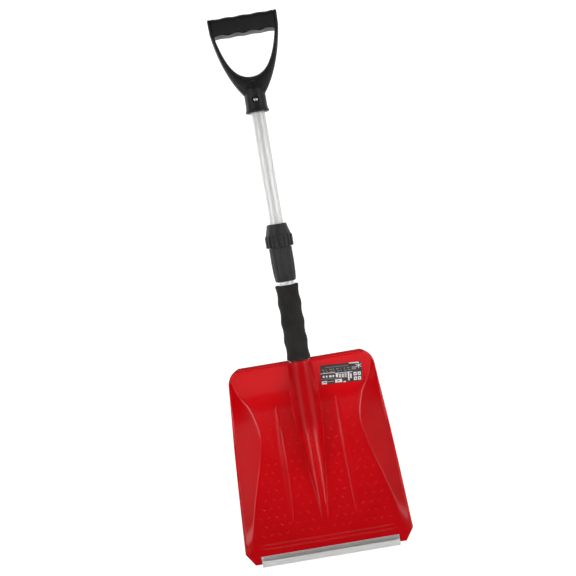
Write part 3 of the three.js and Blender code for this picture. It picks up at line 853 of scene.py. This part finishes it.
def label_point(row, column, lift):
    """A point of the film, on the scoop's surface, with the film's corners rounded."""
    a = (column / LABEL_COLUMNS - 0.5) * LABEL_WIDE
    b = (row / LABEL_ROWS - 0.5) * LABEL_HIGH
    past_a = max(0, abs(a) - LABEL_WIDE / 2 + LABEL_CORNER)
    past_b = max(0, abs(b) - LABEL_HIGH / 2 + LABEL_CORNER)
    pull = 0.7 * max(0.0, hypot(past_a, past_b) - LABEL_CORNER)
    a -= copysign(pull, a)
    b -= copysign(pull, b)
    return on_scoop(LABEL_X + a * cos(LABEL_TILT) - b * sin(LABEL_TILT),
                    LABEL_Z + a * sin(LABEL_TILT) + b * cos(LABEL_TILT), lift)


def make_label():
    """A film with a dark ground, whose faces take their material from a grid of shades."""
    front_lift, back_lift = 0.28, -0.2
    shade = np.zeros((LABEL_ROWS, LABEL_COLUMNS), dtype=int)
    for x0, x1, z0, z1, value in label_blocks():
        low, high = (int(z / LABEL_HIGH * LABEL_ROWS) for z in (z0, z1))
        left, right = (int(x / LABEL_WIDE * LABEL_COLUMNS) for x in (x0, x1))
        shade[low:high, left:right] = value
    rows, columns = LABEL_ROWS + 1, LABEL_COLUMNS + 1
    size = rows * columns
    verts = [label_point(r, c, lift) for lift in (front_lift, back_lift)
             for r in range(rows) for c in range(columns)]
    faces = grid_faces(rows, columns)
    rim = [r * columns + c for r, c in grid_border(rows, columns)]
    faces += [(a, size + a, size + b, b) for a, b in zip(rim, rim[1:] + rim[:1])]
    face_shades = [value for front in shade.ravel() for value in (int(front), DARK)]
    face_shades += [DARK] * len(rim)
    piece("label_film", verts, faces, [LABEL_DARK, LABEL_MID, LABEL_LIGHT], "lower_shaft",
          "label_film", ("label",), face_materials=face_shades)


# ------------ screws

SCREW_HEAD, SCREW_HIGH, SCREW_SHANK = 3.4, 2.2, 1.7


def pan_screw(length):
    """A pan head on a shank, along +Z, with the head's seat at 0."""
    rim, steps = 0.35, 8
    profile = [(0, -length), (SCREW_SHANK, -length), (SCREW_SHANK, 0), (SCREW_HEAD, 0),
               (SCREW_HEAD, rim * SCREW_HIGH)]
    for k in range(1, steps):
        angle = QUARTER * k / steps
        profile.append((SCREW_HEAD * cos(angle),
                        SCREW_HIGH * (rim + (1 - rim) * sin(angle))))
    profile.append((0, SCREW_HIGH))
    return lathe(profile, 40)


def cross_recess():
    """The cross in a screw's head, which narrows downwards."""
    size, thick, narrow, deep, above = 0.62 * SCREW_HEAD, 0.42, 0.45, 1.5, 0.6
    points, arm = [], [(thick, thick), (size, thick * 0.8), (size, -thick * 0.8)]
    for _ in range(4):
        points += arm
        arm = [(y, -x) for x, y in arm]
    return loft([[(narrow * x, narrow * y, SCREW_HIGH - deep) for x, y in points],
                 [(x, y, SCREW_HIGH + above) for x, y in points]])


def make_screw(name, node, body, length, place):
    """place lays points that are made along +Z where the screw sits."""
    verts, faces = pan_screw(length)
    screw = piece(name, place(verts), faces, STEEL, body, "steel", (node,))
    verts, faces = cross_recess()
    cut(screw, place(verts), faces)


def make_blade_screws():
    seat_y, length = 15.9, 6.0
    for name, node, z in (("blade_screw_low", "blade_screw_lower", 220),
                          ("blade_screw_high", "blade_screw_upper", 232)):
        make_screw(name, node, "lower_shaft", length,
                   lambda verts, z=z: laid_back(verts, seat_y, z))


# ------------ the shaft

def make_tube(name, node, body, inside, outside, low, high):
    profile = [(inside, low), (outside, low), (outside, high), (inside, high)]
    piece(name, *lathe(rounded(profile, 0.3, closed=True, steps=2), 128), TUBE, body,
          "aluminium", (node,))


def make_tubes():
    make_tube("shaft_lower_tube", "lower_tube", "lower_shaft", 11.3, 12.5, 212, 496)
    make_tube("shaft_upper_tube", "upper_tube", "upper_shaft", 9.8, 11.0, 404, 736)


def make_foam_grip():
    """Foam with four soft waves, full lips at its ends and a slightly uneven skin."""
    low, high, waves, steps = 317.6, 433.5, 4, 150
    mean, taper, swell, flatter = 17.3, 0.3, 0.72, 0.15
    bore, bevel, face, lip, lip_steps = 12.6, 0.6, 14.5, 1.6, 4
    skin = 15.4
    margin = lip + 0.1

    def radius(z):
        along = (z - low) / (high - low)
        wave = cos(TURN * waves * along)
        return mean + taper * (1 - along) + swell * (wave - flatter * (1 - wave * wave))

    def uneven(a, r, z):
        if r < skin:
            return r
        return r + (sin(3 * a + z * 0.05) * 0.06 + sin(5 * a - z * 0.11) * 0.04)

    profile = [(bore, low + bevel), (face, low), (radius(low) - lip, low)]
    for k in range(lip_steps):
        angle = QUARTER * k / lip_steps
        profile.append((radius(low) - lip + lip * sin(angle),
                        low + lip * (1 - cos(angle))))
    for i in range(steps + 1):
        z = low + margin + (high - low - 2 * margin) * i / steps
        profile.append((radius(z), z))
    for k in range(1, lip_steps + 1):
        angle = QUARTER * k / lip_steps
        profile.append((radius(high) - lip + lip * cos(angle),
                        high - lip + lip * sin(angle)))
    profile += [(face, high), (bore, high - bevel)]
    grip = piece("foam_hand_grip", *lathe(profile, 96, uneven), FOAM, "lower_shaft", "foam",
                 ("foam_grip",))


# ------------ the twist lock

def make_collar():
    """The fixed half, with twelve shallow flutes."""
    flutes, flute_deep, barrel, shoulder = 12, 0.75, 15.3, 491
    profile = rounded([(12.8, 439), (15.3, 439), (16.3, 443), (17.2, 453), (17.7, 468),
                       (17.5, 490.9), (15.2, 490.9), (15.2, 508), (14.1, 508), (14.1, 497),
                       (12.8, 497)],
                      [0.3, 0.7, 3, 8, 8, 0.5, 0.3, 0.4, 0.3, 0, 0], closed=True, steps=6)

    def fluted(a, r, z):
        if r < barrel or z > shoulder:
            return r
        fade = float(smooth01((z - 441) / 6) * smooth01((490.2 - z) / 2.5))
        groove = max(0.0, cos(flutes * a)) ** 3
        return r - flute_deep * fade * groove

    piece("lock_collar", *lathe(filled(profile, 2.5), 192, fluted), LOCK_GREY, "lower_shaft",
          "grey_plastic", ("collar_body",))


def make_nut():
    """A cone that flares into a band of blocky ridges, which fade out up the cone."""
    ridges, ridge_top, streak_high = 18, 21.1, 0.35
    outer = [(15.6, 491.8), (18.8, 491.8), (19.0, 492.4), (18.9, 509.5), (18.2, 513.5),
             (15.2, 526.3), (14.6, 527), (11.6, 527)]
    inner = [(11.6, 520.7), (15.9, 520.7), (15.9, 509), (15.6, 508.6)]
    radii = [0.3, 0.5, 0.4, 0, 6, 0.8, 0.5, 0.3, 0.2, 0.2, 0.1, 0.1]
    profile = rounded(outer + inner, radii, closed=True, steps=5)

    def ridged(a, r, z):
        inside = r < 14 or r < 16.2 and z < 515
        if inside or z > 521:
            return r
        rise = float(smooth01((z - 491.4) / 1.0)) * float(1 - smooth01((z - 507.5) / 4.2))
        tooth = 0.5 + 0.5 * cos(ridges * a)
        block = float(smooth01((tooth - 0.28) / 0.34))
        tail = float(smooth01((tooth - 0.3) / 0.5)) * float(1 - smooth01((z - 512) / 9))
        return r + (ridge_top - r) * block * rise + streak_high * tail * (1 - rise)

    piece("lock_nut", *lathe(filled(profile, 0.8), 360, ridged), LOCK_GREY, "clamp_nut",
          "grey_plastic", ("clamp_nut",), sharp=40)


def dress_hidden_nodes():
    """Hidden pieces keep their CAD form, and get the material that they are made of."""
    looks = {
        "lower_tube_plug": INNER_BLACK, "collet": INNER_BLACK, "clamp_ring": INNER_BLACK,
        "guide_plug": INNER_BLACK, "collar_set_screw": STEEL, "handle_nut": STEEL,
    }
    for name, material in looks.items():
        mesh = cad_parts[name].data
        mesh.materials.clear()
        mesh.materials.append(material)


# ------------ the D-handle

HANDLE_SCREW_Z, CROSSBAR_Z = 714, 825
ARM_TOP = 818  # where the arms become straight ends
OPENING = [(0, 749.8), (24, 749.8), (36, 773), (45.0, 812)]
OUTSIDE = [(0, 706.5), (29.3, 728.5), (46.5, 778), (51.6, ARM_TOP)]


def bezier(points, t):
    s = 1 - t
    weights = (s ** 3, 3 * s * s * t, 3 * s * t * t, t ** 3)
    return np.array([sum(w * p[k] for w, p in zip(weights, points)) for k in (0, 1)])


def arm_section(inner, outer, depth, power):
    """A rounded section between two points in X and Z, with its depth along Y."""
    count = 40
    middle = (inner + outer) / 2
    reach = (outer - inner) / 2
    ring = []
    for k in range(count):
        angle = TURN * k / count
        c, s = cos(angle), sin(angle)
        a = copysign(abs(c) ** (2 / power), c)
        b = copysign(abs(s) ** (2 / power), s)
        ring.append((middle[0] + reach[0] * a, depth * b, middle[1] + reach[1] * a))
    return ring


def yoke():
    """Both arms in one closed loft, from one end through the web under the opening to the other."""
    steps, deep, waist, square, squarer = 56, 11.8, 2.6, 2.5, 3.7
    right = []
    for i in range(steps + 1):
        t = i / steps
        depth = deep - waist * sin(pi * min(1, t * 1.02)) ** 2
        power = square + 1.2 * float(smooth01((t - 0.85) / 0.15))
        right.append(arm_section(bezier(OPENING, t), bezier(OUTSIDE, t), depth, power))
    ends = ((ARM_TOP, 0), (824, 0), (832, 0), (836.6, 0), (838.2, 0.5), (839.0, 1.3), (839.3, 2.4))
    for z, shrink in ends:
        inner = np.array([46.8 + 0.2 * shrink, z])
        outer = np.array([51.7 + 0.6 * (z - ARM_TOP) / 22 - 0.35 * shrink, z])
        depth = deep + 0.5 * float(smooth01((z - 812) / 10)) - shrink
        right.append(arm_section(inner, outer, depth, squarer))
    left = [[(-x, y, z) for x, y, z in ring] for ring in right[:0:-1]]
    return loft(left + right)


def make_yoke():
    """The frame with the grip's core, and the neck with a hollow for the screw's head."""
    core_half, core_radius = 47.5, 7.4
    core_verts, core_faces = lathe([(0, -core_half), (core_radius, -core_half),
                                    (core_radius, core_half), (0, core_half)], 32)
    core = [(z, x, y + CROSSBAR_Z) for x, y, z in core_verts], core_faces
    piece("handle_frame", *joined([yoke(), core]), HANDLE_BLACK, "upper_shaft",
          "black_plastic", ("handle_yoke",))
    neck = rounded([(11.3, 696), (17.7, 696), (17.8, 698.6), (16.6, 700.8), (16.1, 706),
                    (15.9, 730), (12.0, 743.0), (0, 744.5)],
                   [0.4, 0.9, 0.9, 1.4, 3, 6, 5, 0], steps=6)
    neck += [(0, 738), (11.3, 737)]
    obj = piece("handle_neck", *lathe(neck, 128), HANDLE_BLACK, "upper_shaft", "black_plastic")
    hollow = rounded([(0, 0), (5.2, 0), (6.0, 5), (0, 5)], [0, 0.8, 0, 0], steps=4)
    verts, faces = lathe(hollow, 48)
    cut(obj, laid_forward(verts, -13.1, HANDLE_SCREW_Z), faces)


def sleeve_section(x):
    """The grip's section in Y and Z: a crowned top, and finger hollows along its lower edge."""
    pitch, end_from, end_run = 23.7, 43.5, 3.5
    hollow = 0.5 - 0.5 * cos(TURN * ((x / pitch) % 1.0))
    hollow *= 1 - float(smooth01((abs(x) - end_from) / end_run))
    front, back, high = 12.5 - 0.5 * hollow, 12.5, 840.0 - 0.7 * hollow
    low_front, low_back = 812.6 + 2.6 * hollow, 812.2 + 0.6 * hollow
    outline = [(-front, low_front), (back, low_back), (back, high), (-front, high)]
    return rounded(outline, [2.4, 3.0, 6.5, 6.5], steps=8, closed=True)


def make_sleeve():
    half, steps, end_shrink, middle_z = 46.75, 120, 0.99, 825.9
    sections = []
    for i in range(steps + 1):
        x = -half + 2 * half * i / steps
        sections.append([(x, y, z) for y, z in sleeve_section(x)])
    for end in (0, -1):
        sections[end] = [(x, y * end_shrink, middle_z + (z - middle_z) * end_shrink)
                         for x, y, z in sections[end]]
    piece("grip_sleeve_soft", *loft(sections), SLEEVE_BLACK, "upper_shaft", "grip_rubber",
          ("grip_sleeve",), sharp=50)


def make_handle_screw():
    make_screw("handle_pan_screw", "handle_screw", "upper_shaft", 22,
               lambda verts: laid_forward(verts, -13.0, HANDLE_SCREW_Z))


# ------------ studio

WORLD, BACK_GLOW, GROUND_GLOW = 0.05, 0.85, 0.95
MID = (0, 0, 0.3)
# Whether a light adds diffuse light and gloss, and its spread in degrees.
BOTH, GLOSS_ONLY = (True, True, 180), (False, True, 180)
DIFFUSE_ONLY, DIFFUSE_BEAM = (True, False, 180), (True, False, 30)
# Name, place, what it faces, width, height, watts and kind.
LIGHTS = (
    ("key_right", (1.3, -1.02, 0.63), MID, 0.5, 1.14, 6.4, BOTH),
    ("key_left", (-1.12, -1.21, 0.63), MID, 0.5, 1.14, 4.8, BOTH),
    ("gleam_right", (1.31, -1.03, 0.85), MID, 0.5, 0.7, 2.4, GLOSS_ONLY),
    ("gleam_left", (-1.13, -1.22, 0.75), MID, 0.5, 0.9, 3.8, GLOSS_ONLY),
    ("soft_right", (1.6, -0.8, -0.05), MID, 0.9, 1.6, 2.7, DIFFUSE_ONLY),
    ("soft_left", (-1.6, -0.8, -0.05), MID, 0.9, 1.6, 3.5, DIFFUSE_ONLY),
    ("deep_right", (1.25, -1.0, -0.9), MID, 0.5, 0.9, 3.6, GLOSS_ONLY),
    ("deep_left", (-1.25, -1.0, -0.9), MID, 0.5, 0.9, 2.4, GLOSS_ONLY),
    ("low_right", (1.3, -1.02, -0.2), MID, 0.5, 0.3, 0.2, BOTH),
    ("low_left", (-1.3, -1.02, -0.2), MID, 0.5, 0.3, 0.3, BOTH),
    ("side_right", (1.9, -0.1, 0.3), (0, -0.1, 0.3), 1.5, 3.6, 5.2, BOTH),
    ("side_left", (-1.9, -0.1, 0.3), (0, -0.1, 0.3), 1.5, 3.6, 2.6, BOTH),
    ("rim_left", (-1.6, 0.75, 0.5), MID, 1.0, 2.2, 14, GLOSS_ONLY),
    ("rim_right", (1.6, 0.75, 0.5), MID, 1.0, 2.2, 4, GLOSS_ONLY),
    ("fill_right", (0.7, -1.1, -0.55), (0, 0, 0.36), 0.6, 0.4, 0.29, DIFFUSE_BEAM),
    ("fill_left", (-0.7, -1.1, -0.55), (0, 0, 0.36), 0.6, 0.4, 0.29, DIFFUSE_BEAM),
    ("front_card", (0, -1.5, 0.76), (0, 0, 0.6), 1.0, 0.9, 2.0, BOTH),
    ("below", (0.2, -0.42, -0.85), (0, 0, 0.28), 1.2, 0.6, 0.85, BOTH),
    ("overhead", (0, 0.2, 2.6), MID, 3.0, 2.0, 18, GLOSS_ONLY),
)
STAGE_HIGH = 4.5


def area_light(name, place, target, wide, high, power, kind):
    diffuse, gloss, spread = kind
    data = bpy.data.lights.new(name, "AREA")
    data.shape = "RECTANGLE"
    data.size, data.size_y, data.energy, data.spread = wide, high, power, radians(spread)
    obj = linked(name, data)
    obj.location = place
    facing = Vector(target) - Vector(place)
    obj.rotation_euler = facing.to_track_quat("-Z", "Y").to_euler()
    obj.visible_camera = False
    obj.visible_diffuse, obj.visible_glossy = diffuse, gloss


def pale_material(name, glow):
    m = Nodes(name)
    m.colour(m.cloud(3, 2), (0.38, 0.38, 0.38), (0.4, 0.4, 0.4))
    m.set(Roughness=0.9, Specular_IOR_Level=0.0, Emission_Color=(1, 1, 1, 1),
          Emission_Strength=glow)
    return m.material


def stage_piece(name, verts, faces, material):
    """Part of the studio, from points in metres."""
    mesh = bpy.data.meshes.new(name)
    mesh.from_pydata(verts, [], faces)
    mesh.polygons.foreach_set("use_smooth", [True] * len(faces))
    mesh.materials.append(material)
    obj = linked(name, mesh)
    return obj


def make_ground():
    """A pale round floor that curves up into a wall, which only the camera sees."""
    flat, bend, bend_steps, thick, below = 2.2, 0.9, 10, 0.1, -0.0004
    profile = [(0, below), (flat / 2, below), (flat, below)]
    for k in range(1, bend_steps + 1):
        angle = QUARTER * k / bend_steps
        profile.append((flat + bend * sin(angle), bend * (1 - cos(angle))))
    profile += [(flat + bend, STAGE_HIGH), (flat + bend + thick, STAGE_HIGH)]
    material = pale_material("pale_ground", GROUND_GLOW)
    ground = stage_piece("stage_seen", *lathe(profile), material)
    ground.visible_diffuse = ground.visible_glossy = False
    ground.visible_transmission = ground.visible_shadow = False


def make_back_glow():
    """A glowing wall round the back, which the camera doesn't see."""
    radius, low, start, sweep, steps = 2.6, -1.2, 25, 130, 24
    arc = [radians(start + sweep * k / steps) for k in range(steps + 1)]
    verts = [(radius * cos(a), radius * sin(a), z)
             for z in (low, STAGE_HIGH) for a in arc]
    count = len(arc)
    faces = [(k, k + 1, count + k + 1, count + k) for k in range(steps)]
    glow = stage_piece("stage_glow", verts, faces, pale_material("pale_glow", BACK_GLOW))
    glow.visible_camera = False


def make_studio():
    scene = bpy.context.scene
    scene.view_settings.view_transform = "Standard"
    scene.world = bpy.data.worlds.new("studio")
    scene.world.use_nodes = True
    background = scene.world.node_tree.nodes["Background"]
    background.inputs["Color"].default_value = (1, 1, 1, 1)
    background.inputs["Strength"].default_value = WORLD
    make_ground()
    make_back_glow()
    for light in LIGHTS:
        area_light(*light)


def make_camera():
    """Square on to the front, from the lock's height, looking down a little and rolled."""
    place, pitch, roll = (0.0014, -1.3685, 0.5475), radians(5.0), radians(9.5)
    data = bpy.data.cameras.new("camera")
    data.sensor_width = 36
    data.lens = 56.25
    camera = linked("camera", data)
    level = radians(90)
    turn = Matrix.Rotation(level - pitch, 4, "X") @ Matrix.Rotation(-roll, 4, "Z")
    camera.matrix_world = Matrix.Translation(place) @ turn
    bpy.context.scene.camera = camera


make_camera()
make_studio()
make_scoop()
make_edge_strip()
make_label()
make_blade_screws()
make_tubes()
make_foam_grip()
make_collar()
make_nut()
dress_hidden_nodes()
make_yoke()
make_sleeve()
make_handle_screw()
